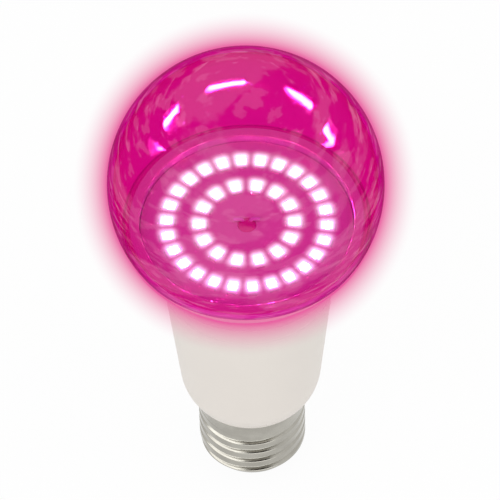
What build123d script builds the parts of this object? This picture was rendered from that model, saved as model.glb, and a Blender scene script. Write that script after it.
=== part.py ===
from build123d import *
import math
import os

# LED grow light bulb: an E27 screw cap, a white flared housing and a clear ball-shaped cover over a
# round board with two rings of LED packages. The origin is the tip of the centre contact, and +Z
# runs up the bulb's axis to the crown of the cover. Lengths are millimetres, angles are degrees.

# Screw cap, with seven threads to the inch
THREAD_DIAMETER = 26.2
THREAD_DEPTH = 1.0
THREAD_PITCH = 25.4 / 7
THREAD_TURN = 63.2  # where the thread starts round the axis
CREST_WIDTH = 1.0
SHELL_WALL = 0.4
CAP_HEIGHT = 26.5  # contact tip to the housing's foot
COLLAR_HEIGHT = 3.4  # plain band above the thread
LIP_HEIGHT = 1.4  # turned-in lower edge that grips the insulator
LIP_INSET = 1.6
INSULATOR_FLANGE = 2.0
CONTACT_DIAMETER = 9.6
CONTACT_HEIGHT = 1.3
CONTACT_EDGE = 0.6
CONTACT_STEM_DIAMETER = 3.0
INSULATOR_CONE = 3.0  # from the back of the contact to the lip

# Housing
HOUSING_HEIGHT = 65.0
HOUSING_WALL = 1.8
FLARE_HEIGHT = 24.0
WAIST_DIAMETER = 40.4
FOOT_DIAMETER = 34.4
FOOT_HEIGHT = 8.0  # rounded stretch above the cap
FOOT_STEP = 0.3  # how far the foot stands out past the cap
RIM_EDGE = 0.5
CURB_HEIGHT = 0.6  # raised ring inside the rim that centres the cover
CURB_WALL = 2.3
CURB_EDGE = 0.4
NECK_WALL = 1.7
FLOOR_THICKNESS = 3.5
FUNNEL_HEIGHT = 6.0
RAIL_DEPTH = 4.4
RAIL_OVERLAP = 1.2
RAIL_WIDTH = 1.2

# Clear cover
GLOBE_DIAMETER = 65.0
GLOBE_RISE = 13.65  # centre of the ball above the housing's rim
COVER_WALL = 1.5

# LED board, its packages and the cup under it
LED_DROP = 0.85  # face of the LEDs below the rim
LED_LENGTH = 3.5
LED_WIDTH = 2.8
LED_HEIGHT = 0.8
LED_FRAME = 0.35
LED_RECESS = 0.12
LED_MARK = 0.5  # cut corner
OUTER_RING_INSET = 6.2  # from the edge of the board to the middle of the outer ring
RING_SPACING = 7.68
OUTER_RING_COUNT = 26
OUTER_RING_TURN = -4.15
INNER_RING_COUNT = 14
INNER_RING_TURN = -0.1
BOARD_THICKNESS = 1.2
BOARD_OVERHANG = 2.2  # past the cup, over the housing's ledge
WIRE_HOLE_DIAMETER = 4.4
CUP_HEIGHT = 17.0
CUP_WALL = 1.2

# Driver
DRIVER_HEIGHT = 42.0
DRIVER_THICKNESS = 1.2
CAPACITOR_DIAMETER = 8.0
CAPACITOR_HEIGHT = 10.5
CAPACITOR_SPACING = 9.0
CRIMP_DEPTH = 0.4
CRIMP_HEIGHT = 1.6  # crimped groove above the foot
INDUCTOR_DIAMETER = 9.0
INDUCTOR_HEIGHT = 9.0
INDUCTOR_FLANGE = 1.2
WINDING_DEPTH = 0.6
FILM_SIZE = (10.0, 5.0, 8.0)
RECTIFIER_SIZE = (6.2, 4.6, 2.0)
CHIP_SIZE = (4.9, 3.9, 1.5)
FUSE_DIAMETER = 3.2
FUSE_LENGTH = 9.0
LEG_SIZE = 0.5
LEG_REACH = 1.0
BLOCK_EDGE = 0.25
FILM_EDGE = 0.5
TOP_MARGIN = 8.7  # bare stretch above the components
ROW_GAP = 0.8
LED_LEAD_DIAMETER = 0.9
LED_LEAD_SPACING = 1.7
LED_LEAD_REACH = 3.2
MAINS_LEAD_DIAMETER = 1.3
MAINS_LEAD_SPACING = 8.0
MAINS_LEAD_ROOM = 0.25  # above and below the neutral lead, under the spigot

# Room left between pieces that go together
FIT = 0.15

# Radii and heights that several pieces share
THREAD_RADIUS = THREAD_DIAMETER / 2
ROOT_RADIUS = THREAD_RADIUS - THREAD_DEPTH
SHELL_BORE = ROOT_RADIUS - SHELL_WALL
COLLAR_BORE = THREAD_RADIUS - SHELL_WALL
COLLAR_Z = CAP_HEIGHT - COLLAR_HEIGHT
LIP_Z = CONTACT_HEIGHT + INSULATOR_CONE
FLANGE_Z = LIP_Z + LIP_HEIGHT
CONTACT_RADIUS = CONTACT_DIAMETER / 2
STEM_RADIUS = CONTACT_STEM_DIAMETER / 2
STEM_TOP_Z = FLANGE_Z

RIM_Z = CAP_HEIGHT + HOUSING_HEIGHT
WAIST_Z = RIM_Z - FLARE_HEIGHT
GLOBE_Z = RIM_Z + GLOBE_RISE
GLOBE_RADIUS = GLOBE_DIAMETER / 2
INNER_RADIUS = GLOBE_RADIUS - COVER_WALL
RIM_RADIUS = math.sqrt(GLOBE_RADIUS**2 - GLOBE_RISE**2)
CURB_RADIUS = math.sqrt(INNER_RADIUS**2 - GLOBE_RISE**2) - FIT
CURB_BORE = CURB_RADIUS - CURB_WALL
CURB_Z = RIM_Z + CURB_HEIGHT

LED_TOP_Z = RIM_Z - LED_DROP
BOARD_Z = LED_TOP_Z - LED_HEIGHT
PLATE_Z = BOARD_Z - BOARD_THICKNESS
LEDGE_Z = PLATE_Z - FIT
BOARD_RADIUS = CURB_BORE - FIT
CUP_RADIUS = BOARD_RADIUS - BOARD_OVERHANG
OUTER_RING_RADIUS = BOARD_RADIUS - OUTER_RING_INSET
INNER_RING_RADIUS = OUTER_RING_RADIUS - RING_SPACING
WIRE_HOLE_RADIUS = WIRE_HOLE_DIAMETER / 2
CUP_SEAT_Z = PLATE_Z - CUP_HEIGHT

FLOOR_Z = CAP_HEIGHT + FLOOR_THICKNESS
FOOT_RADIUS = FOOT_DIAMETER / 2
CAVITY_RADIUS = FOOT_RADIUS - HOUSING_WALL
DRIVER_WIDTH = 2 * (CAVITY_RADIUS - RAIL_DEPTH)
DRIVER_TOP_Z = FLOOR_Z + DRIVER_HEIGHT
NECK_RADIUS = SHELL_BORE - FIT
NECK_BORE = NECK_RADIUS - NECK_WALL
INSULATOR_TOP_Z = FLANGE_Z + INSULATOR_FLANGE
NEUTRAL_Z = INSULATOR_TOP_Z + MAINS_LEAD_ROOM + MAINS_LEAD_DIAMETER / 2
NECK_Z = NEUTRAL_Z + MAINS_LEAD_DIAMETER / 2 + MAINS_LEAD_ROOM
DRIVER_FACE = DRIVER_THICKNESS / 2

# Outside of the housing: a straight taper that turns into the flare under the cover
WAIST = Vector(WAIST_DIAMETER / 2, WAIST_Z)
FOOT_TOP = Vector(FOOT_RADIUS, CAP_HEIGHT + FOOT_HEIGHT)
FOOT_END = Vector(THREAD_RADIUS + FOOT_STEP, CAP_HEIGHT)
FLARE_END = Vector(RIM_RADIUS, RIM_Z - RIM_EDGE)
FLARE = TangentArc(WAIST, FLARE_END, tangent=WAIST - FOOT_TOP)
FLARE_MIDDLE = FLARE @ 0.5
FLARE_LEAN = FLARE % 0.5

STANDING = (Align.CENTER, Align.CENTER, Align.MIN)


def liner_radius(z, inset):
    """Radius at height z of a straight cone that lies inset from the flare at its middle."""
    lean = FLARE_LEAN.X / FLARE_LEAN.Y
    return FLARE_MIDDLE.X - inset / FLARE_LEAN.Y + lean * (z - FLARE_MIDDLE.Y)


def liner_height(radius, inset):
    """Height at which that cone has the given radius."""
    return FLARE_MIDDLE.Y + (radius - liner_radius(FLARE_MIDDLE.Y, inset)) * FLARE_LEAN.Y / FLARE_LEAN.X


def turned(*edges):
    """Solid turned about the bulb's axis from a closed section of radius and height."""
    return revolve(Plane.XZ * make_face(edges), axis=Axis.Z)


def globe_cover():
    """Clear hollow ball, cut off flat where its foot stands on the housing's rim, round the curb."""
    outer_start = -math.degrees(math.asin(GLOBE_RISE / GLOBE_RADIUS))
    inner_start = -math.degrees(math.asin(GLOBE_RISE / INNER_RADIUS))
    outside = CenterArc((0, GLOBE_Z), GLOBE_RADIUS, outer_start, 90 - outer_start)
    inside = CenterArc((0, GLOBE_Z), INNER_RADIUS, inner_start, 90 - inner_start)
    return turned(outside, inside, Line(outside @ 0, inside @ 0), Line(outside @ 1, inside @ 1))


def guide_rail(side, face):
    """One rib of the pair that holds an edge of the driver board."""
    inner = DRIVER_WIDTH / 2 - RAIL_OVERLAP
    outer = CAVITY_RADIUS + HOUSING_WALL / 2
    rail = Box(outer - inner, RAIL_WIDTH, CUP_SEAT_Z - FLOOR_Z - FUNNEL_HEIGHT, align=STANDING)
    offset = DRIVER_FACE + FIT + RAIL_WIDTH / 2
    return Pos(side * (inner + outer) / 2, face * offset, FLOOR_Z + FUNNEL_HEIGHT / 2) * rail


def housing():
    """Moulded body: rim and curb for the cover, seats for board and cup, driver bay and cap spigot."""
    cup_bore = CUP_RADIUS + FIT
    cup_inset = HOUSING_WALL
    foot = TangentArc(FOOT_TOP, FOOT_END, tangent=FOOT_TOP - WAIST)
    collar_neck = COLLAR_BORE - FIT
    inside = Polyline(
        foot @ 1,
        (collar_neck, CAP_HEIGHT),
        (collar_neck, COLLAR_Z + THREAD_DEPTH),
        (NECK_RADIUS, COLLAR_Z),
        (NECK_RADIUS, NECK_Z),
        (NECK_BORE, NECK_Z),
        (NECK_BORE, FLOOR_Z),
        (DRIVER_WIDTH / 2 + FIT, FLOOR_Z),
        (CAVITY_RADIUS, FLOOR_Z + FUNNEL_HEIGHT),
        (CAVITY_RADIUS, CUP_SEAT_Z),
        (liner_radius(CUP_SEAT_Z, cup_inset), CUP_SEAT_Z),
        (cup_bore, liner_height(cup_bore, cup_inset)),
        (cup_bore, LEDGE_Z),
        (CURB_BORE, LEDGE_Z),
        (CURB_BORE, CURB_Z - CURB_EDGE),
        (CURB_BORE + CURB_EDGE, CURB_Z),
        (CURB_RADIUS, CURB_Z),
        (CURB_RADIUS, RIM_Z),
        (RIM_RADIUS - RIM_EDGE, RIM_Z),
        FLARE_END,
    )
    body = turned(FLARE, Line(WAIST, FOOT_TOP), foot, inside)
    rails = [guide_rail(side, face) for side in (-1, 1) for face in (-1, 1)]
    return body + rails


def heat_sink_cup():
    """Pressed cup: a flat plate for the LED board and a wall that lines the housing's flare."""
    outer_inset = HOUSING_WALL + FIT
    inner_inset = outer_inset + CUP_WALL
    inner_radius = CUP_RADIUS - CUP_WALL
    section = Polyline(
        (WIRE_HOLE_RADIUS, PLATE_Z - CUP_WALL),
        (WIRE_HOLE_RADIUS, PLATE_Z),
        (CUP_RADIUS, PLATE_Z),
        (CUP_RADIUS, liner_height(CUP_RADIUS, outer_inset)),
        (liner_radius(CUP_SEAT_Z, outer_inset), CUP_SEAT_Z),
        (liner_radius(CUP_SEAT_Z, inner_inset), CUP_SEAT_Z),
        (inner_radius, liner_height(inner_radius, inner_inset)),
        (inner_radius, PLATE_Z - CUP_WALL),
        close=True,
    )
    return turned(section)


def led_board():
    """Round aluminium circuit board with a hole for the leads."""
    board = Cylinder(BOARD_RADIUS, BOARD_THICKNESS, align=STANDING)
    hole = Cylinder(WIRE_HOLE_RADIUS, BOARD_THICKNESS, align=STANDING)
    return Pos(0, 0, PLATE_Z) * (board - hole)


def led_package():
    """White package with a sunk window and one cut corner, its long side along X."""
    body = Box(LED_LENGTH, LED_WIDTH, LED_HEIGHT, align=STANDING)
    corner = body.edges().filter_by(Axis.Z).sort_by(Axis.X)[-1]
    body = chamfer(corner, LED_MARK)
    window = Box(LED_LENGTH - 2 * LED_FRAME, LED_WIDTH - 2 * LED_FRAME, LED_RECESS, align=STANDING)
    return body - Pos(0, 0, LED_HEIGHT - LED_RECESS) * window


def led_ring(name, radius, count, turn):
    """Named packages evenly round the board, each with its long side along the radius."""
    package = led_package()
    places = PolarLocations(radius, count, turn)
    return {f"{name}_{k:02d}": Pos(0, 0, BOARD_Z) * place * package for k, place in enumerate(places, 1)}


def screw_shell():
    """Plated shell: plain collar, rolled right-hand thread and a lower edge turned in."""
    lip_end = ROOT_RADIUS - LIP_INSET
    tube = turned(
        Polyline(
            (THREAD_RADIUS, CAP_HEIGHT),
            (THREAD_RADIUS, COLLAR_Z + THREAD_DEPTH),
            (ROOT_RADIUS, COLLAR_Z),
            (ROOT_RADIUS, FLANGE_Z),
            (lip_end, LIP_Z),
            (lip_end - SHELL_WALL, LIP_Z + SHELL_WALL),
            (SHELL_BORE, FLANGE_Z + SHELL_WALL),
            (SHELL_BORE, COLLAR_Z),
            (COLLAR_BORE, COLLAR_Z + THREAD_DEPTH),
            (COLLAR_BORE, CAP_HEIGHT),
            close=True,
        )
    )
    root_half = (THREAD_PITCH - CREST_WIDTH) / 2
    profile = Polyline(
        (-SHELL_WALL / 2, -root_half),
        (THREAD_DEPTH, -CREST_WIDTH / 2),
        (THREAD_DEPTH, CREST_WIDTH / 2),
        (-SHELL_WALL / 2, root_half),
        close=True,
    )
    thread_z = FLANGE_Z - THREAD_PITCH / 2
    thread_length = COLLAR_Z - FLANGE_Z + THREAD_PITCH
    path = Helix(THREAD_PITCH, thread_length, ROOT_RADIUS, center=(0, 0, thread_z))
    start = Plane(origin=path @ 0, x_dir=(1, 0, 0), z_dir=path % 0)
    ridge = Rot(0, 0, THREAD_TURN) * sweep(start * make_face(profile), path=path, is_frenet=True)
    run_out = turned(
        Polyline(
            (0, FLANGE_Z),
            (ROOT_RADIUS, FLANGE_Z),
            (THREAD_RADIUS + FIT, FLANGE_Z + THREAD_PITCH / 2),
            (THREAD_RADIUS + FIT, COLLAR_Z - THREAD_PITCH / 2),
            (ROOT_RADIUS, COLLAR_Z),
            (0, COLLAR_Z),
            close=True,
        )
    )
    return tube + (ridge & run_out)


def base_insulator():
    """Black insulator that the shell's lip grips, with a hole for the contact's stem."""
    lip_end = ROOT_RADIUS - LIP_INSET - SHELL_WALL - FIT
    seat_radius = SHELL_BORE - FIT
    section = Polyline(
        (STEM_RADIUS, CONTACT_HEIGHT),
        (CONTACT_RADIUS + CONTACT_EDGE, CONTACT_HEIGHT),
        (lip_end, LIP_Z),
        (lip_end, LIP_Z + SHELL_WALL + FIT),
        (seat_radius, FLANGE_Z + SHELL_WALL + FIT),
        (seat_radius, INSULATOR_TOP_Z),
        (STEM_RADIUS, INSULATOR_TOP_Z),
        close=True,
    )
    return turned(section)


def centre_contact():
    """Riveted contact: a flat button with an eased edge, and its stem through the insulator."""
    section = Polyline(
        (0, 0),
        (CONTACT_RADIUS - CONTACT_EDGE, 0),
        (CONTACT_RADIUS, CONTACT_EDGE),
        (CONTACT_RADIUS, CONTACT_HEIGHT),
        (STEM_RADIUS, CONTACT_HEIGHT),
        (STEM_RADIUS, STEM_TOP_Z),
        (0, STEM_TOP_Z),
        close=True,
    )
    return turned(section)


def driver_board():
    """Circuit board that stands on the housing's floor, between the guide rails."""
    return Pos(0, 0, FLOOR_Z) * Box(DRIVER_WIDTH - 2 * FIT, DRIVER_THICKNESS, DRIVER_HEIGHT, align=STANDING)


def on_driver(component, x, drop, face):
    """A component that stands on one face of the driver board, drop below the board's top."""
    seat = Plane(origin=(x, face * DRIVER_FACE, DRIVER_TOP_Z - drop), x_dir=(1, 0, 0), z_dir=(0, face, 0))
    return seat * component


def down_the_board(*heights):
    """How far below the board's top the middles of a column of components of these heights lie."""
    starts = [TOP_MARGIN + sum(heights[:k]) + k * ROW_GAP for k in range(len(heights))]
    return [start + height / 2 for start, height in zip(starts, heights)]


def capacitor():
    """Electrolytic can with the crimped groove near its foot."""
    radius = CAPACITOR_DIAMETER / 2
    return turned(
        Polyline(
            (0, 0),
            (radius, 0),
            (radius, CRIMP_HEIGHT - 2 * CRIMP_DEPTH),
            (radius - CRIMP_DEPTH, CRIMP_HEIGHT),
            (radius, CRIMP_HEIGHT + 2 * CRIMP_DEPTH),
            (radius, CAPACITOR_HEIGHT - CRIMP_DEPTH),
            (radius - CRIMP_DEPTH, CAPACITOR_HEIGHT),
            (0, CAPACITOR_HEIGHT),
            close=True,
        )
    )


def inductor():
    """Drum core with its winding between two flanges."""
    radius = INDUCTOR_DIAMETER / 2
    winding = radius - WINDING_DEPTH
    return turned(
        Polyline(
            (0, 0),
            (radius, 0),
            (radius, INDUCTOR_FLANGE),
            (winding, INDUCTOR_FLANGE),
            (winding, INDUCTOR_HEIGHT - INDUCTOR_FLANGE),
            (radius, INDUCTOR_HEIGHT - INDUCTOR_FLANGE),
            (radius, INDUCTOR_HEIGHT),
            (0, INDUCTOR_HEIGHT),
            close=True,
        )
    )


def legged_block(size, legs):
    """Moulded block with a row of flat legs along each long side."""
    length, width, height = size
    block = Box(length, width, height, align=STANDING)
    block = chamfer(block.faces().sort_by(Axis.Z)[-1].edges(), BLOCK_EDGE)
    leg = Box(LEG_SIZE, width + 2 * LEG_REACH, LEG_SIZE, align=STANDING)
    return block + [place * leg for place in GridLocations(length / legs, 0, legs, 1)]


def film_capacitor():
    """Dipped box capacitor with rounded uprights."""
    box = Box(*FILM_SIZE, align=STANDING)
    return chamfer(box.edges().filter_by(Axis.Z), FILM_EDGE)


def fuse_resistor():
    """Round resistor that lies along the board on two bent legs."""
    axis_height = FUSE_DIAMETER / 2 + LEG_SIZE
    body = Pos(0, 0, axis_height) * Rot(90, 0, 0) * Cylinder(FUSE_DIAMETER / 2, FUSE_LENGTH)
    leg = Box(LEG_SIZE, LEG_SIZE, axis_height, align=STANDING)
    return body + [place * leg for place in GridLocations(0, FUSE_LENGTH - 2 * LEG_SIZE, 1, 2)]


def lead(points, diameter):
    """Round lead along straight runs, bent round its own diameter."""
    path = FilletPolyline(*points, radius=diameter)
    return sweep(Plane(origin=path @ 0, z_dir=path % 0) * Circle(diameter / 2), path=path)


def led_lead(side):
    """Lead up through the wire hole, bent over on to the face of the LED board."""
    x = side * LED_LEAD_SPACING / 2
    y = DRIVER_FACE + LED_LEAD_DIAMETER / 2 + FIT
    over = BOARD_Z + LED_LEAD_DIAMETER / 2 + FIT
    low = (x, y, DRIVER_TOP_Z - LED_LEAD_REACH)
    end = (side * LED_LEAD_REACH, y, over)
    return lead([low, (x, y, over), end], LED_LEAD_DIAMETER)


def live_lead():
    """Lead from the driver board down the spigot to the contact's stem."""
    x = -MAINS_LEAD_SPACING / 2
    y = -DRIVER_FACE - MAINS_LEAD_DIAMETER / 2 - FIT
    stem_room = STEM_TOP_Z + 2 * MAINS_LEAD_DIAMETER
    high = (x, y, FLOOR_Z + FUNNEL_HEIGHT)
    turn = (x, y, NECK_Z + 2 * MAINS_LEAD_DIAMETER)
    return lead([high, turn, (0, 0, stem_room), (0, 0, STEM_TOP_Z)], MAINS_LEAD_DIAMETER)


def neutral_lead():
    """Lead from the driver board round the end of the spigot to the wall of the screw shell."""
    x = MAINS_LEAD_SPACING / 2
    y = -DRIVER_FACE - MAINS_LEAD_DIAMETER / 2 - FIT
    wall = math.sqrt(SHELL_BORE**2 - (abs(y) + MAINS_LEAD_DIAMETER / 2) ** 2) - FIT
    high = (x, y, FLOOR_Z + FUNNEL_HEIGHT)
    return lead([high, (x, y, NEUTRAL_Z), (wall, y, NEUTRAL_Z)], MAINS_LEAD_DIAMETER)


inductor_drop, capacitor_drop, film_drop = down_the_board(
    INDUCTOR_DIAMETER, CAPACITOR_DIAMETER, FILM_SIZE[1]
)
chip_drop, rectifier_drop, fuse_drop = down_the_board(
    CHIP_SIZE[1] + 2 * LEG_REACH, RECTIFIER_SIZE[1] + 2 * LEG_REACH, FUSE_LENGTH
)
parts = {
    "globe_cover": globe_cover(),
    "housing": housing(),
    "heat_sink_cup": heat_sink_cup(),
    "led_board": led_board(),
    "screw_shell": screw_shell(),
    "base_insulator": base_insulator(),
    "centre_contact": centre_contact(),
    "driver_board": driver_board(),
    "input_capacitor": on_driver(capacitor(), -CAPACITOR_SPACING / 2, capacitor_drop, 1),
    "output_capacitor": on_driver(capacitor(), CAPACITOR_SPACING / 2, capacitor_drop, 1),
    "inductor": on_driver(inductor(), 0, inductor_drop, 1),
    "film_capacitor": on_driver(film_capacitor(), 0, film_drop, 1),
    "driver_chip": on_driver(legged_block(CHIP_SIZE, 4), 0, chip_drop, -1),
    "bridge_rectifier": on_driver(legged_block(RECTIFIER_SIZE, 2), 0, rectifier_drop, -1),
    "fuse_resistor": on_driver(fuse_resistor(), 0, fuse_drop, -1),
    "led_lead_positive": led_lead(1),
    "led_lead_negative": led_lead(-1),
    "live_lead": live_lead(),
    "neutral_lead": neutral_lead(),
}
parts |= led_ring("led_outer", OUTER_RING_RADIUS, OUTER_RING_COUNT, OUTER_RING_TURN)
parts |= led_ring("led_inner", INNER_RING_RADIUS, INNER_RING_COUNT, INNER_RING_TURN)

os.makedirs("parts", exist_ok=True)
for node, solid in parts.items():
    export_step(solid, f"parts/{node}.step")
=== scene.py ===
import bmesh
import bpy
import math
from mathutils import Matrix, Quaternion, Vector


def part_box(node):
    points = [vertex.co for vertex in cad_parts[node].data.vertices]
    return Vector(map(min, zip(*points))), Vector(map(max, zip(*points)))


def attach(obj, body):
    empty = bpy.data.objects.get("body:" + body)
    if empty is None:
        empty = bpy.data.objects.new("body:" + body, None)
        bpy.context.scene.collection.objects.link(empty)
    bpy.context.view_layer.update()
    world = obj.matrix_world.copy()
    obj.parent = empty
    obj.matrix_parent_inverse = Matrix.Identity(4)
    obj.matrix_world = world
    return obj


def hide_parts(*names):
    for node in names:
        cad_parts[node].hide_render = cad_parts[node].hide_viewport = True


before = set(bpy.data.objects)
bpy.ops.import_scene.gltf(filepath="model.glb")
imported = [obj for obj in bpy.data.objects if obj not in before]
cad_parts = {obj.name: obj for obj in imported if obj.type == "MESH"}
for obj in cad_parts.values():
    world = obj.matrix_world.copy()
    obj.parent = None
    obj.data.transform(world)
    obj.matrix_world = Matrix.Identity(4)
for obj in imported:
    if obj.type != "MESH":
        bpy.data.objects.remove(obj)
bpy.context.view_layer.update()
scene = bpy.context.scene
MM = 0.001


# Screw shell
# A cup drawn from thin brass sheet, rolled into a right-hand thread and plated with bright nickel.
# It is crimped round the housing's spigot, and its lower edge is turned in to grip the insulator.


def add_node(tree, kind, inputs=None, **settings):
    """A node with its settings, and with each input set to a value or joined to an output."""
    node = tree.nodes.new(kind)
    for name, value in settings.items():
        setattr(node, name, value)
    for key, value in (inputs or {}).items():
        if isinstance(value, bpy.types.NodeSocket):
            tree.links.new(value, node.inputs[key])
        else:
            node.inputs[key].default_value = value
    return node


def calc(tree, operation, *values):
    """One sum, in any kind of node tree."""
    return add_node(tree, "ShaderNodeMath", dict(enumerate(values)), operation=operation).outputs[0]


def ramp(tree, value, start, end, low=0.0, high=1.0):
    """Smooth step of a value from low at start to high at end."""
    inputs = {"Value": value, "From Min": start, "From Max": end, "To Min": low, "To Max": high}
    return add_node(tree, "ShaderNodeMapRange", inputs, interpolation_type="SMOOTHSTEP").outputs[0]


def new_finish(name):
    """An empty material: its node tree and its surface shader."""
    finish = bpy.data.materials.new(name)
    finish.use_nodes = True
    return finish, finish.node_tree, finish.node_tree.nodes["Principled BSDF"]


def set_surface(shader, **values):
    """Plain values on the shader's own sockets, with spaces in their names written as underscores."""
    for name, value in values.items():
        shader.inputs[name.replace("_", " ")].default_value = value


def cloudy(tree, size, stretch=(1, 1, 1), detail=3.0, shift=(0, 0, 0)):
    """Noise whose patches are about the given size across, in the piece's own frame."""
    place = add_node(tree, "ShaderNodeTexCoord").outputs["Object"]
    inputs = {"Vector": place, "Scale": stretch, "Location": shift}
    mapped = add_node(tree, "ShaderNodeMapping", inputs).outputs[0]
    noise = add_node(tree, "ShaderNodeTexNoise", {"Vector": mapped, "Scale": 1 / size, "Detail": detail})
    return noise.outputs["Fac"]


def mixed(tree, share, first, second):
    """Colour between two, by a share from 0 to 1."""
    mix = add_node(tree, "ShaderNodeMix", {"Factor": share}, data_type="RGBA")
    mix.inputs[6].default_value = (*first, 1)
    mix.inputs[7].default_value = (*second, 1)
    return mix.outputs[2]


def roughen(tree, shader, height, depth, strength=1.0):
    """Fine relief of the given depth on a surface."""
    bump = add_node(tree, "ShaderNodeBump", {"Height": height, "Distance": depth, "Strength": strength})
    tree.links.new(bump.outputs[0], shader.inputs["Normal"])


def axis_distance(tree):
    """How far a point of the surface is from the bulb's axis."""
    place = add_node(tree, "ShaderNodeTexCoord").outputs["Object"]
    level = add_node(tree, "ShaderNodeVectorMath", {0: place, 1: (1, 1, 0)}, operation="MULTIPLY").outputs[0]
    return add_node(tree, "ShaderNodeVectorMath", {0: level}, operation="LENGTH").outputs["Value"]


shell_low, shell_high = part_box("screw_shell")
sheet_wall = 0.4 * MM
pitch = 25.4 / 7 * MM
thread_depth = 1.0 * MM
crest_radius = shell_high.x
root_radius = crest_radius - thread_depth
lip_radius = crest_radius - 2.6 * MM
lip_height = 1.4 * MM
collar_height = 6.2 * MM
front_crest = 10.4 * MM


def plated_shell():
    """Bright nickel with faint rolling marks round it and a few duller clouds, and painted shade that darkens
    the thread's grooves.
    """
    finish, tree, shader = new_finish("plated_shell")
    set_surface(shader, Metallic=1.0)
    clouds = cloudy(tree, 6 * MM)
    marks = cloudy(tree, 1.2 * MM, stretch=(0.06, 0.06, 2.2), detail=6)
    bright = mixed(tree, ramp(tree, clouds, 0.35, 0.65), (0.44, 0.425, 0.38), (0.38, 0.365, 0.325))
    # Painted shade: the colour darkens towards the thread's roots, where shade falls in the grooves.
    groove_shade_low, groove_shade_high = root_radius + 0.05 * MM, root_radius + 0.30 * MM
    painted_groove_shade = ramp(tree, axis_distance(tree), groove_shade_low, groove_shade_high, 0.85, 1.0)
    colour = add_node(tree, "ShaderNodeVectorMath", {0: bright, 1: painted_groove_shade}, operation="MULTIPLY").outputs[0]
    tree.links.new(colour, shader.inputs["Base Color"])
    tree.links.new(ramp(tree, marks, 0.3, 0.7, 0.14, 0.22), shader.inputs["Roughness"])
    roughen(tree, shader, marks, 0.01 * MM)
    return finish


def new_tree(name, **inputs):
    """A geometry tree with named number inputs, and the outputs that carry them."""
    tree = bpy.data.node_groups.new(name, "GeometryNodeTree")
    tree.interface.new_socket("Geometry", in_out="OUTPUT", socket_type="NodeSocketGeometry")
    for socket, kind in inputs.items():
        tree.interface.new_socket(socket, in_out="INPUT", socket_type=f"NodeSocket{kind}")
    start = tree.nodes.new("NodeGroupInput")
    return tree, {socket: start.outputs[socket] for socket in inputs}


def end_tree(tree, geometry, finish):
    """Makes instances real, gives them their finish and ends the tree."""
    real = add_node(tree, "GeometryNodeRealizeInstances", {"Geometry": geometry}).outputs[0]
    inputs = {"Geometry": real, "Material": finish}
    coloured = add_node(tree, "GeometryNodeSetMaterial", inputs).outputs[0]
    add_node(tree, "NodeGroupOutput", {"Geometry": coloured})


def grown(name, tree, values, wall=None):
    """The plain mesh piece that a geometry tree makes, with a wall inside it where one is given."""
    seed = bpy.data.objects.new(name + "_seed", bpy.data.meshes.new(name + "_seed"))
    scene.collection.objects.link(seed)
    growth = seed.modifiers.new("growth", "NODES")
    growth.node_group = tree
    for socket in tree.interface.items_tree:
        if socket.in_out == "INPUT":
            growth[socket.identifier] = values[socket.name]
    if wall:
        sheet = seed.modifiers.new("wall", "SOLIDIFY")
        sheet.thickness = wall
        sheet.offset = -1
    bpy.context.view_layer.update()
    mesh = bpy.data.meshes.new_from_object(seed.evaluated_get(bpy.context.evaluated_depsgraph_get()))
    bpy.data.objects.remove(seed)
    return placed(name, mesh)


def placed(name, mesh, finish=None, sharp=40):
    """A smooth-shaded piece at the origin that moves with the bulb."""
    mesh.name = name
    mesh.shade_smooth()
    mesh.set_sharp_from_angle(angle=math.radians(sharp))
    if finish:
        mesh.materials.append(finish)
    piece = bpy.data.objects.new(name, mesh)
    scene.collection.objects.link(piece)
    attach(piece, "root")
    return piece


def rolled_thread():
    """Tree for a sheet wrapped round the axis: turned-in lip, thread that runs out into a plain collar."""
    kinds = dict.fromkeys(
        ("Foot", "Lip", "Thread foot", "Root", "Depth", "Pitch", "Front crest", "Collar", "Top"), "Float"
    )
    tree, size = new_tree("rolled_thread", **kinds)
    grid = {"Size X": 1.0, "Size Y": 1.0, "Vertices X": 121, "Vertices Y": 400}
    sheet = add_node(tree, "GeometryNodeMeshGrid", grid).outputs["Mesh"]
    place = add_node(tree, "GeometryNodeInputPosition").outputs[0]
    spot = add_node(tree, "ShaderNodeSeparateXYZ", {0: place})
    angle = calc(tree, "MULTIPLY", spot.outputs[0], math.tau)
    share = calc(tree, "ADD", spot.outputs[1], 0.5)
    length = calc(tree, "SUBTRACT", size["Top"], size["Foot"])
    height = calc(tree, "MULTIPLY_ADD", share, length, size["Foot"])
    half_pitch = calc(tree, "MULTIPLY", size["Pitch"], 0.5)
    curl_end = {"Value": height, "From Min": size["Foot"], "From Max": size["Thread foot"]}
    curl = calc(tree, "SQRT", add_node(tree, "ShaderNodeMapRange", curl_end).outputs[0])
    lip = calc(tree, "MULTIPLY_ADD", curl, calc(tree, "SUBTRACT", size["Root"], size["Lip"]), size["Lip"])
    run_in = ramp(tree, height, size["Thread foot"], calc(tree, "ADD", size["Thread foot"], half_pitch))
    collar = ramp(tree, height, size["Collar"], calc(tree, "ADD", size["Collar"], half_pitch))
    turns = calc(tree, "DIVIDE", calc(tree, "SUBTRACT", height, size["Front crest"]), size["Pitch"])
    front_angle = calc(tree, "ADD", angle, math.pi / 2)
    wave = calc(tree, "COSINE", calc(tree, "SUBTRACT", calc(tree, "MULTIPLY", turns, math.tau), front_angle))
    crest = ramp(tree, wave, -1.0, 0.05)
    thread = calc(tree, "MAXIMUM", calc(tree, "MULTIPLY", crest, run_in), collar)
    radius = calc(tree, "MULTIPLY_ADD", thread, size["Depth"], lip)
    x = calc(tree, "MULTIPLY", radius, calc(tree, "COSINE", angle))
    y = calc(tree, "MULTIPLY", radius, calc(tree, "SINE", angle))
    wrapped = add_node(tree, "ShaderNodeCombineXYZ", {0: x, 1: y, 2: height}).outputs[0]
    shaped = add_node(tree, "GeometryNodeSetPosition", {"Geometry": sheet, "Position": wrapped}).outputs[0]
    closed = add_node(tree, "GeometryNodeMergeByDistance", {"Geometry": shaped, "Distance": 0.001 * MM})
    end_tree(tree, closed.outputs[0], plated_shell())
    return tree


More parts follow.
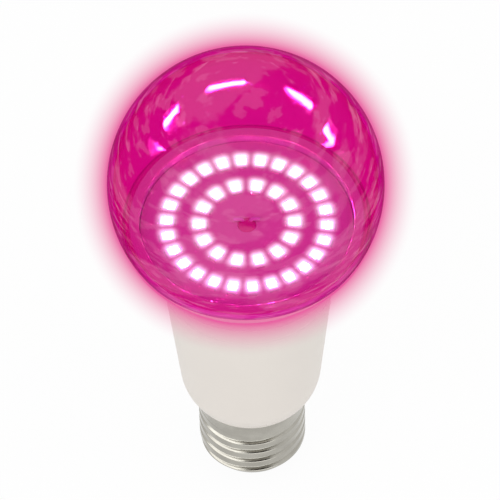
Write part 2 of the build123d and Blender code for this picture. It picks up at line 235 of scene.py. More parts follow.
shell = grown(
    "plated_screw_shell",
    rolled_thread(),
    {
        "Foot": shell_low.z,
        "Lip": lip_radius,
        "Thread foot": shell_low.z + lip_height,
        "Root": root_radius,
        "Depth": thread_depth,
        "Pitch": pitch,
        "Front crest": front_crest,
        "Collar": shell_high.z - collar_height,
        "Top": shell_high.z,
    },
    wall=sheet_wall,
)
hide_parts("screw_shell")


# Insulator and centre contact
# The insulator is a moulded black ring that fills the end of the shell, gripped by the shell's lip.
# The contact is a tinned brass rivet through it, with a drop of solder where the live lead ends.


def eased(outline, radius, steps=5):
    """The outline of radii and heights with each of its corners off the axis rounded."""
    points = [Vector(point) for point in outline]
    soft = []
    for before, corner, after in zip(points[-1:] + points[:-1], points, points[1:] + points[:1]):
        back, ahead = before - corner, after - corner
        half = back.angle(ahead) / 2
        reach = min(radius / math.tan(half), back.length * 0.45, ahead.length * 0.45) if half < 1.56 else 0
        if corner.x < 1e-6 or reach < 1e-6:
            soft.append(corner)
            continue
        first, last = corner + back.normalized() * reach, corner + ahead.normalized() * reach
        for k in range(steps + 1):
            share = k / steps
            soft.append(first.lerp(corner, share).lerp(corner.lerp(last, share), share))
    return soft


def turned(name, outline, finish, steps=192, sharp=40):
    """A closed piece turned about the bulb's axis from an outline of radii and heights."""
    form = bmesh.new()
    rows = []
    for radius, height in outline:
        count = steps if radius > 1e-6 else 1
        angles = [math.tau * k / steps for k in range(count)]
        rows.append([form.verts.new((radius * math.cos(a), radius * math.sin(a), height)) for a in angles])
    for row, after in zip(rows, rows[1:] + rows[:1]):
        if len(row) == len(after) == 1:
            continue
        for k in range(steps):
            near = [row[k % len(row)], row[(k + 1) % len(row)]]
            far = [after[(k + 1) % len(after)], after[k % len(after)]]
            form.faces.new(dict.fromkeys(near + far))
    bmesh.ops.recalc_face_normals(form, faces=form.faces)
    mesh = bpy.data.meshes.new(name)
    form.to_mesh(mesh)
    form.free()
    return placed(name, mesh, finish, sharp)


def moulded(name, colour, roughness, grain, variety=0.12):
    """Moulded plastic: slight clouds in its colour, and a fine grain from the mould."""
    finish, tree, shader = new_finish(name)
    darker = tuple(channel * (1 - variety) for channel in colour)
    tree.links.new(mixed(tree, cloudy(tree, 9 * MM), colour, darker), shader.inputs["Base Color"])
    speckle = cloudy(tree, grain, detail=2)
    satin = ramp(tree, speckle, 0.2, 0.8, roughness - 0.05, roughness + 0.05)
    tree.links.new(satin, shader.inputs["Roughness"])
    roughen(tree, shader, speckle, 0.02 * MM, 0.5)
    return finish


def tinned(name, colour, roughness):
    """Dull metal with the soft ripple of solder or tin."""
    finish, tree, shader = new_finish(name)
    set_surface(shader, Metallic=1.0)
    ripple = cloudy(tree, 1.5 * MM)
    darker = tuple(channel * 0.75 for channel in colour)
    tree.links.new(mixed(tree, ripple, colour, darker), shader.inputs["Base Color"])
    tree.links.new(ramp(tree, ripple, 0.2, 0.8, roughness, roughness + 0.15), shader.inputs["Roughness"])
    roughen(tree, shader, ripple, 0.04 * MM)
    return finish


insulator_low, insulator_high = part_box("base_insulator")
contact_low, contact_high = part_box("centre_contact")
stem_radius = 1.5 * MM
nose_radius = contact_high.x + 0.6 * MM
mouth_radius = 9.95 * MM
mouth_depth = 0.55 * MM
skirt_height = 1.45 * MM
insulator_outline = [
    (stem_radius, insulator_low.z),
    (nose_radius, insulator_low.z),
    (mouth_radius, shell_low.z),
    (mouth_radius, shell_low.z + mouth_depth),
    (insulator_high.x, insulator_high.z - skirt_height),
    (insulator_high.x, insulator_high.z),
    (stem_radius, insulator_high.z),
]
insulator_black = moulded("insulator_black", (0.020, 0.020, 0.022), 0.30, 0.4 * MM)
insulator = turned("black_insulator", eased(insulator_outline, 0.3 * MM), insulator_black)
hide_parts("base_insulator")

contact_edge = 0.6 * MM
contact_outline = [
    (0, contact_low.z),
    (contact_high.x - contact_edge, contact_low.z),
    (contact_high.x, contact_low.z + contact_edge),
    (contact_high.x, insulator_low.z),
    (stem_radius, insulator_low.z),
    (stem_radius, contact_high.z),
    (0, contact_high.z),
]
contact_tin = tinned("contact_tin", (0.58, 0.55, 0.49), 0.28)
contact = turned("tinned_contact", eased(contact_outline, 0.35 * MM), contact_tin, steps=96)
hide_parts("centre_contact")


# Housing
# One satin moulding in warm white plastic: rounded foot, straight taper, flared rim, and a spigot that
# carries the screw shell. A curb in its rim centres the cover, and white adhesive on the shelf bonds it.


def bend(start, heading, end, steps=24):
    """Points on the arc that leaves start along heading and reaches end, without start itself."""
    start, end = Vector(start), Vector(end)
    across = Vector(heading).orthogonal().normalized()
    chord = end - start
    reach = chord.length_squared / (2 * across.dot(chord))
    centre = start + across * reach
    spoke = start - centre
    sweep = spoke.angle_signed(end - centre)
    turns = [sweep * k / steps for k in range(1, steps + 1)]
    return [centre + Vector((spoke.x * math.cos(t) + spoke.y * math.sin(t),
                             spoke.y * math.cos(t) - spoke.x * math.sin(t))) for t in turns]


housing_low, housing_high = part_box("housing")
cover_low, cover_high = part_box("globe_cover")
foot_height = shell_high.z
rim_height = cover_low.z
rim_radius = housing_high.y
waist = Vector((20.2 * MM, rim_height - 24 * MM))
foot_top = Vector((17.2 * MM, foot_height + 8 * MM))
foot_end = Vector((crest_radius + 0.3 * MM, foot_height))
rim_edge = 0.5 * MM
flare_end = Vector((rim_radius, rim_height - rim_edge))
curb_height = housing_high.z
curb_radius = 27.683 * MM
curb_bore = curb_radius - 2.3 * MM
board_low, board_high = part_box("led_board")
cup_low, cup_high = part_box("heat_sink_cup")
fit = 0.15 * MM
cup_bore = cup_high.x + fit
cup_wall = 4 * MM
cup_ledge = 18.0 * MM
cavity_radius = 15.4 * MM
funnel_radius = 11 * MM
funnel_height = 6 * MM
neck_radius = 11.55 * MM
neck_bore = 9.85 * MM
neck_height = 3.4 * MM
collar_neck = crest_radius - 0.55 * MM
collar_seat = 2.4 * MM
floor_height = foot_height + 3.5 * MM
inside = [
    (rim_radius - rim_edge, rim_height),
    (curb_radius, rim_height),
    (curb_radius, curb_height),
    (curb_bore, curb_height),
    (curb_bore, board_low.z - fit),
    (cup_bore, board_low.z - fit),
    (cup_bore, board_low.z - cup_wall),
    (cup_ledge, cup_low.z),
    (cavity_radius, cup_low.z),
    (cavity_radius, floor_height + funnel_height),
    (funnel_radius, floor_height),
    (neck_bore, floor_height),
    (neck_bore, housing_low.z),
    (neck_radius, housing_low.z),
    (neck_radius, foot_height - neck_height),
    (collar_neck, foot_height - collar_seat),
    (collar_neck, foot_height),
]
taper = [waist.lerp(foot_top, k / 12) for k in range(13)]
outside = [flare_end] + bend(waist, waist - foot_top, flare_end)[-2::-1] + taper
outside += bend(foot_top, foot_top - waist, foot_end)
housing_white = moulded("housing_white", (0.765, 0.715, 0.662), 0.46, 0.35 * MM, variety=0.03)
housing = turned("white_housing", outside + eased(inside, 0.35 * MM)[::-1], housing_white)
polished_curb = moulded("polished_curb", (0.80, 0.76, 0.54), 0.30, 0.5 * MM, variety=0.10)
set_surface(polished_curb.node_tree.nodes["Principled BSDF"], Coat_Weight=0.45, Coat_Roughness=0.02)
white_adhesive = moulded("white_adhesive", (0.98, 0.90, 0.88), 0.40, 0.8 * MM)
housing.data.materials.append(polished_curb)
housing.data.materials.append(white_adhesive)
shelf_play = 0.02 * MM
for face in housing.data.polygons:
    if face.center.z > rim_height + shelf_play:
        face.material_index = 1
    elif face.center.z > rim_height - shelf_play:
        face.material_index = 2
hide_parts("housing")


# Driver
# A paper-laminate board with its parts soldered to both faces stands between rails inside the housing.
# It is wired with two leads up to the LED board and two down to the cap, and none of it shows.


def refinish(finish, *nodes):
    """Gives CAD nodes a finish of this scene."""
    for node in nodes:
        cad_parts[node].data.materials.clear()
        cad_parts[node].data.materials.append(finish)


for name, colour, roughness, grain, nodes in (
    ("driver_laminate", (0.50, 0.36, 0.16), 0.55, 0.5 * MM, ["driver_board"]),
    ("capacitor_sleeve", (0.03, 0.03, 0.035), 0.25, 0.6 * MM, ["input_capacitor", "output_capacitor"]),
    ("inductor_sleeve", (0.05, 0.05, 0.05), 0.50, 0.3 * MM, ["inductor"]),
    ("film_box", (0.62, 0.45, 0.06), 0.30, 0.8 * MM, ["film_capacitor"]),
    ("chip_body", (0.02, 0.02, 0.02), 0.55, 0.2 * MM, ["driver_chip", "bridge_rectifier"]),
    ("resistor_coat", (0.10, 0.30, 0.16), 0.45, 0.3 * MM, ["fuse_resistor"]),
    ("lead_white", (0.80, 0.78, 0.74), 0.35, 0.5 * MM, ["led_lead_positive", "led_lead_negative"]),
    ("lead_red", (0.55, 0.03, 0.03), 0.35, 0.5 * MM, ["live_lead"]),
    ("lead_black", (0.02, 0.02, 0.02), 0.35, 0.5 * MM, ["neutral_lead"]),
):
    refinish(moulded(name, colour, roughness, grain), *nodes)


# Heat-sink cup
# A cup pressed from aluminium sheet. It lines the housing's flare, carries the LED board on its flat
# plate and takes its heat to the housing.


def pressed_aluminium():
    """Bare aluminium with the fine circles of pressing."""
    finish, tree, shader = new_finish("pressed_aluminium")
    set_surface(shader, Metallic=1.0, Base_Color=(0.75, 0.75, 0.76, 1))
    circles = cloudy(tree, 1.0 * MM, stretch=(0.1, 0.1, 2), detail=5)
    tree.links.new(ramp(tree, circles, 0.3, 0.7, 0.28, 0.42), shader.inputs["Roughness"])
    roughen(tree, shader, circles, 0.015 * MM)
    return finish


refinish(pressed_aluminium(), "heat_sink_cup")


# LED board
# A round aluminium circuit board under a white solder mask, bedded flat on the cup in heat paste.
# The LED leads come up through the hole in its middle, which a drop of red sealant closes.

wire_hole = 2.2 * MM
board_outline = [
    (wire_hole, board_low.z),
    (board_high.x, board_low.z),
    (board_high.x, board_high.z),
    (wire_hole, board_high.z),
]
board_mask = moulded("board_mask", (0.80, 0.79, 0.60), 0.42, 0.6 * MM, variety=0.08)
board = turned("round_led_board", eased(board_outline, 0.12 * MM), board_mask)
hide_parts("led_board")

seal_rise = 0.5 * MM
seal_outline = [
    (0, board_low.z),
    (wire_hole, board_low.z),
    (wire_hole, board_high.z),
    (0, board_high.z + seal_rise),
]
seal_red = moulded("seal_red", (0.70, 0.06, 0.36), 0.40, 0.8 * MM)
seal = turned("wire_hole_seal", eased(seal_outline, 0.3 * MM), seal_red, steps=64)


# LED packages
# White plastic frames round a sunk window of phosphor, each soldered to the board by its two ends.
# They stand in two rings, with their long sides along the radius, and are lit.

outer_nodes = [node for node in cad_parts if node.startswith("led_outer")]
inner_nodes = [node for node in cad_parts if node.startswith("led_inner")]


def ring_of(nodes):
    """Number, radius and starting angle of a ring of packages."""
    middles = [sum(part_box(node), Vector()) / 2 for node in sorted(nodes)]
    radius = sum(middle.xy.length for middle in middles) / len(middles)
    return len(middles), radius, math.atan2(middles[0].y, middles[0].x)


rings = {"Outer": ring_of(outer_nodes), "Inner": ring_of(inner_nodes)}


def slab_loop(length, width, corner, inset, height, middle=0.0):
    """One level of a slab with rounded corners, drawn in by inset."""
    half_x, half_y = length / 2 - inset, width / 2 - inset
    round_off = max(corner - inset, 0.05 * MM)
    points = []
    for quarter, (side_x, side_y) in enumerate(((1, 1), (-1, 1), (-1, -1), (1, -1))):
        for k in range(5):
            a = math.pi / 2 * (quarter + k / 4)
            points.append((middle + side_x * (half_x - round_off) + round_off * math.cos(a),
                           side_y * (half_y - round_off) + round_off * math.sin(a), height))
    return points


def add_slab(form, loops):
    """A closed slab through loops of points, from its foot to its top."""
    levels = [[form.verts.new(point) for point in loop] for loop in loops]
    form.faces.new(levels[0][::-1])
    form.faces.new(levels[-1])
    for low, high in zip(levels, levels[1:]):
        for k in range(len(low)):
            nxt = (k + 1) % len(low)
            form.faces.new((low[k], low[nxt], high[nxt], high[k]))


def template(name, slabs):
    """A hidden pattern piece for the rings, made of slabs."""
    form = bmesh.new()
    for loops in slabs:
        add_slab(form, loops)
    bmesh.ops.recalc_face_normals(form, faces=form.faces)
    mesh = bpy.data.meshes.new(name)
    form.to_mesh(mesh)
    form.free()
    pattern = bpy.data.objects.new(name, mesh)
    scene.collection.objects.link(pattern)
    return pattern


def package_rings(name, finish):
    """Tree that sets a pattern round both rings, turned to face the board's middle."""
    kinds = {"Pattern": "Object", "Height": "Float"}
    for ring in rings:
        kinds |= {f"{ring} count": "Int", f"{ring} radius": "Float", f"{ring} turn": "Float"}
    tree, size = new_tree(name, **kinds)
    pattern = add_node(tree, "GeometryNodeObjectInfo", {"Object": size["Pattern"]}).outputs["Geometry"]
    both = add_node(tree, "GeometryNodeJoinGeometry")
    for ring in rings:
        count, turn = size[f"{ring} count"], size[f"{ring} turn"]
        inputs = {"Vertices": count, "Radius": size[f"{ring} radius"]}
        circle = add_node(tree, "GeometryNodeMeshCircle", inputs)
        step = calc(tree, "DIVIDE", math.tau, count)
        angle = calc(tree, "MULTIPLY", add_node(tree, "GeometryNodeInputIndex").outputs[0], step)
        facing = add_node(tree, "ShaderNodeCombineXYZ", {2: angle}).outputs[0]
        inputs = {"Points": circle.outputs[0], "Instance": pattern, "Rotation": facing}
        packages = add_node(tree, "GeometryNodeInstanceOnPoints", inputs).outputs[0]
        lift = add_node(tree, "ShaderNodeCombineXYZ", {2: size["Height"]}).outputs[0]
        start = add_node(tree, "ShaderNodeCombineXYZ", {2: turn}).outputs[0]
        inputs = {"Geometry": packages, "Translation": lift, "Rotation": start}
        ringed = add_node(tree, "GeometryNodeTransform", inputs).outputs[0]
        tree.links.new(ringed, both.inputs[0])
    end_tree(tree, both.outputs[0], finish)
    return tree


def ring_pieces(name, pattern, finish):
    """The piece that repeats a pattern round both rings."""
    values = {"Pattern": pattern, "Height": board_high.z}
    for ring, (count, radius, turn) in rings.items():
        values |= {f"{ring} count": count, f"{ring} radius": radius, f"{ring} turn": turn}
    piece = grown(name, package_rings(name, finish), values)
    bpy.data.objects.remove(pattern)
    return piece


def phosphor():
    """Lit phosphor, so bright that it washes out, with the yellow body that it has unlit."""
    finish, tree, shader = new_finish("lit_phosphor")
    grains = cloudy(tree, 0.2 * MM)
    tree.links.new(mixed(tree, grains, (0.90, 0.72, 0.30), (0.82, 0.62, 0.22)), shader.inputs["Base Color"])
    radius = axis_distance(tree)
    offsets = [calc(tree, "ABSOLUTE", calc(tree, "SUBTRACT", radius, ring[1])) for ring in rings.values()]
    strength = ramp(tree, calc(tree, "MINIMUM", *offsets), 0.6 * MM, 0.3 * MM, 20.0, 1800.0)
    tree.links.new(strength, shader.inputs["Emission Strength"])
    set_surface(shader, Roughness=0.5, Emission_Color=(1.0, 0.96, 0.97, 1))
    return finish


package_length = 3.5 * MM
package_width = 2.8 * MM
package_height = 0.8 * MM
frame_width = 0.35 * MM
window_depth = 0.12 * MM
window_dome = 0.12 * MM
stand_off = 0.1 * MM
edge = 0.08 * MM
corner = 0.5 * MM
shape = (package_length, package_width, corner)
body_loops = [
    slab_loop(*shape, 0, stand_off),
    slab_loop(*shape, 0, package_height - edge),
    slab_loop(*shape, edge * 0.3, package_height - edge * 0.3),
    slab_loop(*shape, edge, package_height),
    slab_loop(*shape, frame_width - edge, package_height),
    slab_loop(*shape, frame_width, package_height - window_depth),
]
window_loops = [
    slab_loop(*shape, frame_width - 0.02 * MM, package_height - window_depth - 0.05 * MM),
    slab_loop(*shape, frame_width + 0.02 * MM, package_height - window_depth * 0.5),
    slab_loop(*shape, frame_width + 0.20 * MM, package_height + 0.05 * MM),
    slab_loop(*shape, frame_width + 0.50 * MM, package_height + window_dome),
]
pad = (0.8 * MM, 2.2 * MM, 0.2 * MM)
solder_slabs = []
for end in (-1, 1):
    middle = end * package_length / 2
    solder_slabs.append(
        [
            slab_loop(*pad, 0, 0, middle),
            slab_loop(*pad, 0.06 * MM, 0.08 * MM, middle),
            slab_loop(*pad, 0.32 * MM, 0.22 * MM, middle),
        ]
    )
package_white = moulded("package_white", (0.90, 0.88, 0.86), 0.35, 0.3 * MM, variety=0.05)
packages = ring_pieces("led_packages", template("package", [body_loops]), package_white)
packages.visible_diffuse = False
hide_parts(*outer_nodes, *inner_nodes)

windows = ring_pieces("led_windows", template("window", [window_loops]), phosphor())
windows.visible_diffuse = False

solder_bright = tinned("solder_bright", (0.72, 0.71, 0.70), 0.25)
solder = ring_pieces("led_solder", template("solder", solder_slabs), solder_bright)


# Globe cover
# A clear hollow ball blown from plastic, a little uneven on its inside, cut off flat. Its magenta tint is
# painted light: it stands for the pink glow of the lit LEDs.
# Its foot stands on the housing's rim, centred by the curb, and is bonded there.

globe_radius = cover_high.x
globe_centre = cover_high.z - globe_radius
wall = 1.5 * MM
# Painted light: the cover's magenta tint stands for the pink glow of the lit LEDs.
pink_glow_tint = (0.815, 0.095, 0.490)
# Painted shade: the deeper magenta that the cover's outline darkens to.
outline_shade_magenta = (0.42, 0.004, 0.17)
inner_gloss, outer_gloss = 0.40, 0.02


def pink_glow_cover():
    """Clear plastic with a bright inner face and slow waves round it; its magenta tint is painted light for
    the pink glow of the lit LEDs, its darker outline is painted shade, and its pale streaks and dashes are a
    painted glow.
    """
    finish, tree, shader = new_finish("pink_glow_cover")
    set_surface(shader, Roughness=0.0, IOR=1.003, Transmission_Weight=1.0, Coat_Roughness=0.055)
    place = add_node(tree, "ShaderNodeTexCoord").outputs["Object"]
    inputs = {0: place, 1: (0, 0, globe_centre)}
    out = add_node(tree, "ShaderNodeVectorMath", inputs, operation="DISTANCE").outputs["Value"]
    outer = calc(tree, "GREATER_THAN", out, globe_radius - wall / 2)
    facing = add_node(tree, "ShaderNodeLayerWeight", {"Blend": 0.5}).outputs["Facing"]
    # Painted shade: the outer face's colour darkens to a deeper magenta towards the ball's outline, unevenly.
    uneven = calc(tree, "MULTIPLY_ADD", cloudy(tree, 5 * MM, (0.5, 0.5, 2), 4), 0.5, -0.25)
    painted_outline_shade = calc(tree, "MULTIPLY", ramp(tree, calc(tree, "ADD", facing, uneven), 0.60, 0.94), outer)
    tree.links.new(mixed(tree, painted_outline_shade, pink_glow_tint, outline_shade_magenta), shader.inputs["Base Color"])
    buried = add_node(tree, "ShaderNodeNewGeometry").outputs["Backfacing"]
    seen = calc(tree, "SUBTRACT", 1.0, buried)
    gloss = calc(tree, "MULTIPLY_ADD", outer, outer_gloss - inner_gloss, inner_gloss)
    tree.links.new(calc(tree, "MULTIPLY", gloss, seen), shader.inputs["Coat Weight"])
    waves = {"Height": cloudy(tree, 10 * MM, (0.5, 0.5, 1.6), 1), "Distance": 0.12 * MM, "Strength": 0.7}
    tree.links.new(add_node(tree, "ShaderNodeBump", waves).outputs[0], shader.inputs["Coat Normal"])
    # Painted light: pale patches, streaks and dashes glow from the outer face, standing for haze lit by the
    # LEDs and for glints near the sides.
    patches = cloudy(tree, 12 * MM, (0.7, 0.7, 1.6), 6, shift=(0, 0, 296 * MM))
    broad = ramp(tree, patches, 0.50, 0.56, 0.0, 0.040)
    fine = ramp(tree, cloudy(tree, 4 * MM, (0.6, 0.6, 2), 5), 0.54, 0.59, 0.0, 0.040)
    glint_dashes = ramp(tree, cloudy(tree, 3 * MM, (0.4, 0.4, 2.5), 3), 0.58, 0.63, 0.0, 0.09)
    sidewards = calc(tree, "MULTIPLY", glint_dashes, ramp(tree, facing, 0.35, 0.65))
    painted_glow_streaks = calc(tree, "ADD", calc(tree, "ADD", broad, fine), sidewards)
    within = calc(tree, "MULTIPLY", painted_glow_streaks, ramp(tree, facing, 0.90, 0.76))
    painted_glow = calc(tree, "MULTIPLY", within, calc(tree, "MULTIPLY", outer, seen))
    tree.links.new(painted_glow, shader.inputs["Emission Strength"])
    set_surface(shader, Emission_Color=(0.85, 0.8, 0.85, 1))
    # The absorption's colour is part of the painted pink tint.
    depth = {"Color": (0.99, 0.538, 0.966, 1), "Density": 1000.0}
    tint = add_node(tree, "ShaderNodeVolumeAbsorption", depth)
    tree.links.new(tint.outputs[0], tree.nodes["Material Output"].inputs["Volume"])
    return finish


def ball(radius, foot, steps=96):
    """Points up a ball's side from the foot's height to its crown."""
    start = math.asin((foot - globe_centre) / radius)
    angles = [start + (math.pi / 2 - start) * k / steps for k in range(steps + 1)]
    return [Vector((radius * max(math.cos(a), 0), globe_centre + radius * math.sin(a))) for a in angles]


cover_foot = rim_height + 0.03 * MM
inner_wall = ball(globe_radius - wall, cover_foot)[::-1]
cover = turned("clear_globe_cover", inner_wall + ball(globe_radius, cover_foot), pink_glow_cover(), steps=256)
cover.visible_shadow = False
cover.visible_diffuse = False
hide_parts("globe_cover")


# Stage
# A plain white floor and room, two wide soft lamps, cards that only metal mirrors, and the photograph's
# view. Pink air round the cover and a flare over the LEDs stand for the glow of the lit bulb.


def seen_white(tree):
    """1 for rays that come from the camera or off a glossy or clear surface, and 0 for others."""
    rays = add_node(tree, "ShaderNodeLightPath").outputs
    seen = calc(tree, "MAXIMUM", rays["Is Camera Ray"], rays["Is Glossy Ray"])
    return calc(tree, "MAXIMUM", seen, rays["Is Transmission Ray"])


def white_floor():
    """White floor that keeps a faint shadow."""
    finish, tree, shader = new_finish("white_floor")
    set_surface(shader, Base_Color=(0.9, 0.9, 0.9, 1), Roughness=1.0, Specular_IOR_Level=0.0)
    white = add_node(tree, "ShaderNodeEmission", {"Color": (1, 1, 1, 1), "Strength": 1.0}).outputs[0]
    share = calc(tree, "MULTIPLY", seen_white(tree), 0.95)
    shown = add_node(tree, "ShaderNodeMixShader", {0: share, 1: shader.outputs[0], 2: white}).outputs[0]
    tree.links.new(shown, tree.nodes["Material Output"].inputs["Surface"])
    return finish


floor_size = 3.0
floor_mesh = bpy.data.meshes.new("floor")
corners = [(-floor_size, -floor_size, 0), (floor_size, -floor_size, 0), (floor_size, floor_size, 0),
           (-floor_size, floor_size, 0)]
floor_mesh.from_pydata(corners, [], [(0, 1, 2, 3)])
floor_mesh.materials.append(white_floor())
floor = bpy.data.objects.new("floor", floor_mesh)
scene.collection.objects.link(floor)


def pink_air(tree, share):
    """Air that shows pink over what is behind it, by a share from 0 to 1."""
    clear = add_node(tree, "ShaderNodeBsdfTransparent").outputs[0]
    pink = add_node(tree, "ShaderNodeEmission", {"Color": (0.82, 0.10, 0.35, 1), "Strength": 1.0}).outputs[0]
    shown = add_node(tree, "ShaderNodeMixShader", {0: share, 1: clear, 2: pink}).outputs[0]
    tree.links.new(shown, tree.nodes["Material Output"].inputs["Surface"])


def glow_round_cover():
    """Pink air beside the cover's outline, on the ball's near side, that fades outwards and below the rim."""
    finish, tree, _ = new_finish("glow")
    facing = add_node(tree, "ShaderNodeLayerWeight", {"Blend": 0.5}).outputs["Facing"]
    depth = calc(tree, "SUBTRACT", 1.0, facing)
    beside = calc(tree, "SQRT", calc(tree, "SUBTRACT", 1.0, calc(tree, "MULTIPLY", depth, depth)))
    outline = globe_radius / glow_radius
    inward = calc(tree, "DIVIDE", calc(tree, "SUBTRACT", 1.0, beside), 1 - outline)
    fade = calc(tree, "MULTIPLY", calc(tree, "POWER", inward, 1.6), 0.97)
    start = (globe_radius - 0.03 * MM) / glow_radius
    geometry = add_node(tree, "ShaderNodeNewGeometry").outputs
    height = add_node(tree, "ShaderNodeSeparateXYZ", {0: geometry["Position"]}).outputs[2]
    above = ramp(tree, height, rim_height - 14 * MM, rim_height + 4 * MM)
    near = calc(tree, "MULTIPLY", calc(tree, "SUBTRACT", 1.0, geometry["Backfacing"]), above)
    share = calc(tree, "MULTIPLY", fade, calc(tree, "GREATER_THAN", beside, start))
    pink_air(tree, calc(tree, "MULTIPLY", share, near))
    return finish


def spill_below_rim():
    """Pink air on the housing's flare, strongest at the rim."""
    finish, tree, _ = new_finish("spill")
    place = add_node(tree, "ShaderNodeNewGeometry").outputs["Position"]
    height = add_node(tree, "ShaderNodeSeparateXYZ", {0: place}).outputs[2]
    pink_air(tree, ramp(tree, height, rim_height - 11 * MM, rim_height - 3 * MM, 0.0, 0.8))
    return finish


def staged(name, form, finish):
    """A part of the stage that only the camera sees, from a form at its place."""
    mesh = bpy.data.meshes.new(name)
    form.to_mesh(mesh)
    form.free()
    mesh.shade_smooth()
    mesh.materials.append(finish)
    stage_piece = bpy.data.objects.new(name, mesh)
    scene.collection.objects.link(stage_piece)
    stage_piece.visible_shadow = stage_piece.visible_diffuse = stage_piece.visible_glossy = False
    stage_piece.visible_transmission = False
    return stage_piece


glow_radius = 40.4 * MM
form = bmesh.new()
bmesh.ops.create_uvsphere(form, u_segments=128, v_segments=64, radius=glow_radius)
bmesh.ops.translate(form, verts=form.verts, vec=(0, 0, globe_centre))
staged("glow", form, glow_round_cover())

air_gap = 0.2 * MM
spill_depth = 14 * MM
flare_air = [Vector((rim_radius + air_gap, rim_height + 0.6 * MM))]
flare_air += [point + Vector((air_gap, 0)) for point in outside if point.y > rim_height - spill_depth]
air_steps = 192
angles = [math.tau * k / air_steps for k in range(air_steps)]
form = bmesh.new()
rows = [[form.verts.new((p.x * math.cos(a), p.x * math.sin(a), p.y)) for a in angles] for p in flare_air]
for row, after in zip(rows, rows[1:]):
    for k in range(air_steps):
        form.faces.new((row[k], row[k - 1], after[k - 1], after[k]))
staged("spill", form, spill_below_rim())


def led_flare():
    """Clear air that glows over each lit window and fades round it."""
    finish, tree, _ = new_finish("led_flare")
    place = add_node(tree, "ShaderNodeTexCoord").outputs["Object"]
    spot = add_node(tree, "ShaderNodeSeparateXYZ", {0: place})
    x, y = spot.outputs[0], spot.outputs[1]
    radius = axis_distance(tree)
    angle = calc(tree, "ARCTAN2", y, x)
    core_along, core_out = 0.6 * MM, 0.75 * MM
    glow_full, glow_end, peak = 0.6 * MM, 2.95 * MM, 20.0
    flare = 0.0
    for count, ring_radius, turn in rings.values():
        step = math.tau / count
        steps = calc(tree, "DIVIDE", calc(tree, "SUBTRACT", angle, turn), step)
        past = calc(tree, "SUBTRACT", steps, calc(tree, "ROUND", steps))
        along = calc(tree, "ABSOLUTE", calc(tree, "MULTIPLY", past, step * ring_radius))
        out = calc(tree, "ABSOLUTE", calc(tree, "SUBTRACT", radius, ring_radius))
        aside = calc(tree, "MAXIMUM", calc(tree, "SUBTRACT", along, core_along), 0.0)
        beyond = calc(tree, "MAXIMUM", calc(tree, "SUBTRACT", out, core_out), 0.0)
        squares = calc(tree, "MULTIPLY_ADD", aside, aside, calc(tree, "MULTIPLY", beyond, beyond))
        fade = {"Value": calc(tree, "SQRT", squares), "From Min": glow_end, "From Max": glow_full}
        glow = calc(tree, "POWER", add_node(tree, "ShaderNodeMapRange", fade).outputs[0], 3)
        flare = calc(tree, "MULTIPLY_ADD", glow, peak, flare)
    clear = add_node(tree, "ShaderNodeBsdfTransparent").outputs[0]
    tone = {"Color": (0.06, 1.0, 0.12, 1), "Strength": flare}
    light = add_node(tree, "ShaderNodeEmission", tone).outputs[0]
    shown = add_node(tree, "ShaderNodeAddShader", {0: clear, 1: light}).outputs[0]
    tree.links.new(shown, tree.nodes["Material Output"].inputs["Surface"])
    return finish


form = bmesh.new()
bmesh.ops.create_circle(form, cap_ends=True, segments=96, radius=24 * MM)
bmesh.ops.translate(form, verts=form.verts, vec=(0, 0, board_high.z + package_height + 0.2 * MM))
staged("flare", form, led_flare()).visible_transmission = True


def studio_card(name, level, azimuth, distance, low, high, width):
    """An upright card that only shines in metal, at an azimuth from the camera's side of the bulb."""
    finish, tree, _ = new_finish(name)
    grey = (level, level, level, 1)
    light = add_node(tree, "ShaderNodeEmission", {"Color": grey, "Strength": 1.0}).outputs[0]
    tree.links.new(light, tree.nodes["Material Output"].inputs["Surface"])
    form = bmesh.new()
    ends = []
    for side in (-0.5, 0.5):
        turn = math.radians(azimuth - 90) + side * width / distance
        ends.append((distance * math.cos(turn), distance * math.sin(turn)))
    points = [(*ends[0], low), (*ends[1], low), (*ends[1], high), (*ends[0], high)]
    form.faces.new([form.verts.new(point) for point in points])
    card = staged(name, form, finish)
    card.visible_glossy = True
    card.visible_camera = False


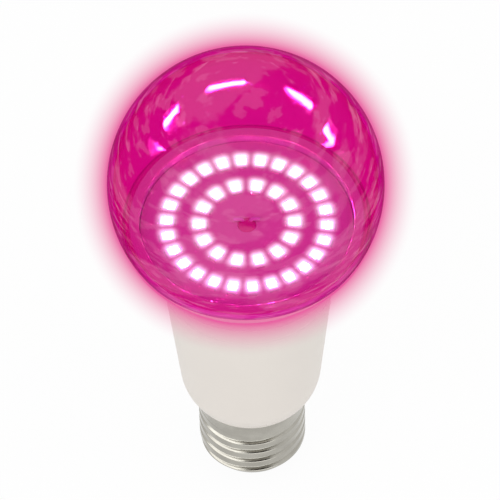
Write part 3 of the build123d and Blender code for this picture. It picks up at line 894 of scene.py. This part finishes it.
studio_card("left_card", level=2.5, azimuth=-74, distance=0.5, low=0.40, high=1.60, width=0.62)
studio_card("front_card", level=2.2, azimuth=0, distance=0.5, low=0.04, high=0.50, width=0.64)
studio_card("black_card", level=0.0, azimuth=0, distance=0.5, low=0.50, high=1.80, width=0.64)

world = bpy.data.worlds.new("white_room")
scene.world = world
world.use_nodes = True
room = world.node_tree
ambient = room.nodes["Background"]
ambient.inputs["Color"].default_value = (1, 1, 1, 1)
ambient_level = 0.75
level = calc(room, "MULTIPLY_ADD", seen_white(room), 1 - ambient_level, ambient_level)
room.links.new(level, ambient.inputs["Strength"])


def soft_lamp(name, place, size, power):
    """A wide lamp that faces the bulb."""
    lamp = bpy.data.lights.new(name, "AREA")
    lamp.size = size
    lamp.energy = power
    lamp_object = bpy.data.objects.new(name, lamp)
    lamp_object.location = place
    aim = Vector((0, 0, rim_height)) - Vector(place)
    lamp_object.rotation_euler = aim.to_track_quat("-Z", "Y").to_euler()
    lamp_object.visible_glossy = False
    scene.collection.objects.link(lamp_object)


soft_lamp("left_lamp", place=(-0.9, -1.0, 1.1), size=1.0, power=7.0)
soft_lamp("right_lamp", place=(1.0, -0.6, 0.9), size=1.2, power=4.0)

elevation = math.radians(52)
roll = math.radians(-1.6)
camera_distance = 1.215
pixels_per_metre = 4238.0
photo_side = 500
led_centre_pixel = (246.82, 222.60)
focal_pixels = pixels_per_metre * camera_distance
led_centre = Vector((0, 0, board_high.z + package_height))
back = Vector((0, -math.cos(elevation), math.sin(elevation)))
level_view = (-back).to_track_quat("-Z", "Y") @ Quaternion((0, 0, 1), roll)
off_axis = Vector((led_centre_pixel[0] - photo_side / 2, photo_side / 2 - led_centre_pixel[1], -focal_pixels))
lens = bpy.data.cameras.new("camera")
lens.sensor_width = 36.0
lens.lens = lens.sensor_width * focal_pixels / photo_side
lens.clip_end = 20.0
camera = bpy.data.objects.new("camera", lens)
camera.location = led_centre + back * camera_distance
camera.rotation_mode = "QUATERNION"
camera.rotation_quaternion = level_view @ off_axis.rotation_difference(Vector((0, 0, -1)))
scene.collection.objects.link(camera)
scene.camera = camera
scene.view_settings.view_transform = "Standard"
scene.cycles.sample_clamp_indirect = 0.0
